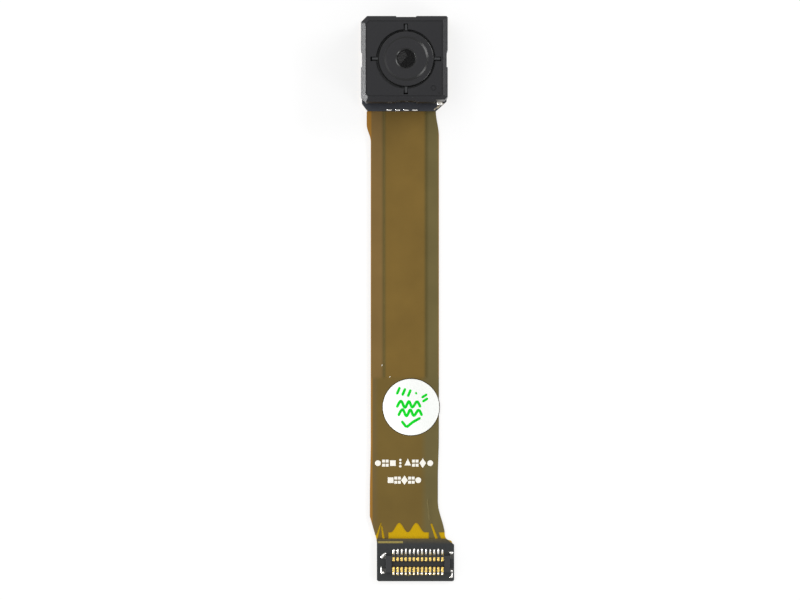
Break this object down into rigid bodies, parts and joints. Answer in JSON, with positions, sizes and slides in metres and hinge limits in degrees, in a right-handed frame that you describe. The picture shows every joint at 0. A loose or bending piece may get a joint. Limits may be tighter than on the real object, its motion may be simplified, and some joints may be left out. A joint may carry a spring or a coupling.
{
  "type": "autofocus camera module",
  "caption": "Square autofocus camera module on a flat flexible circuit that ends in a small board-to-board plug.",
  "frame": {"origin": "on the optical axis, on the back face of the module's stiffener", "axes": "+Z is the way the lens looks, -Y is the way the flexible circuit runs from the module to the plug, +X is to the right when the lens faces the viewer and the plug is down"},
  "size_m": [0.0091, 0.0557, 0.005],
  "materials": {
    "stiffener_steel": "satin",
    "plug_laminate": "satin",
    "yellow_polyimide": "glossy",
    "olive_coverlay": "satin",
    "black_solder_resist": "satin",
    "silicon": "polished",
    "bond_gold": "bright",
    "chip_resin": "matt",
    "capacitor_ceramic": "matt",
    "solder": "bright",
    "holder_resin": "matt",
    "filter_glass": "coated",
    "spring_bronze": "bright",
    "magnet": "plated",
    "cover_black": "satin",
    "terminal_tin": "bright",
    "carrier_resin": "matt",
    "copper_winding": "enamelled",
    "barrel_resin": "satin",
    "lens_resin": "coated",
    "stop_film": "matt",
    "housing_resin": "satin",
    "contact_gold": "bright",
    "hold_down_tin": "bright",
    "label_paper": "satin"
  },
  "bodies": {
    "module": {"back_stiffener": "stiffener_steel", "plug_stiffener": "plug_laminate", "base_film": "yellow_polyimide", "cover_film": "olive_coverlay", "sensor_board": "black_solder_resist", "plug_board": "black_solder_resist", "image_sensor": "silicon", "bonding_wires": "bond_gold", "focus_driver_chip": "chip_resin", "capacitors": "capacitor_ceramic", "soldering_lands": "solder", "terminal_solder": "solder", "filter_holder": "holder_resin", "actuator_base": "holder_resin", "spacer_frame": "holder_resin", "infrared_filter": "filter_glass", "lower_springs": "spring_bronze", "upper_spring": "spring_bronze", "corner_magnets": "magnet", "actuator_cover": "cover_black", "coil_terminals": "terminal_tin", "plug_housing": "housing_resin", "upper_contacts": "contact_gold", "lower_contacts": "contact_gold", "hold_downs": "hold_down_tin", "inspection_label": "label_paper"},
    "lens_group": {"lens_carrier": "carrier_resin", "coil": "copper_winding", "lens_barrel": "barrel_resin", "lens_front": "lens_resin", "lens_second": "lens_resin", "lens_third": "lens_resin", "lens_rear": "lens_resin", "light_stops": "stop_film", "retaining_ring": "barrel_resin"}
  },
  "joints": [
    {"name": "focus_slide", "type": "slide", "parent": "module", "child": "lens_group", "axis": [0, 0, 1], "range_m": [0, 0.0003], "stiffness_N_per_m": 50, "deforming": ["upper_spring", "lower_springs"]}
  ]
}
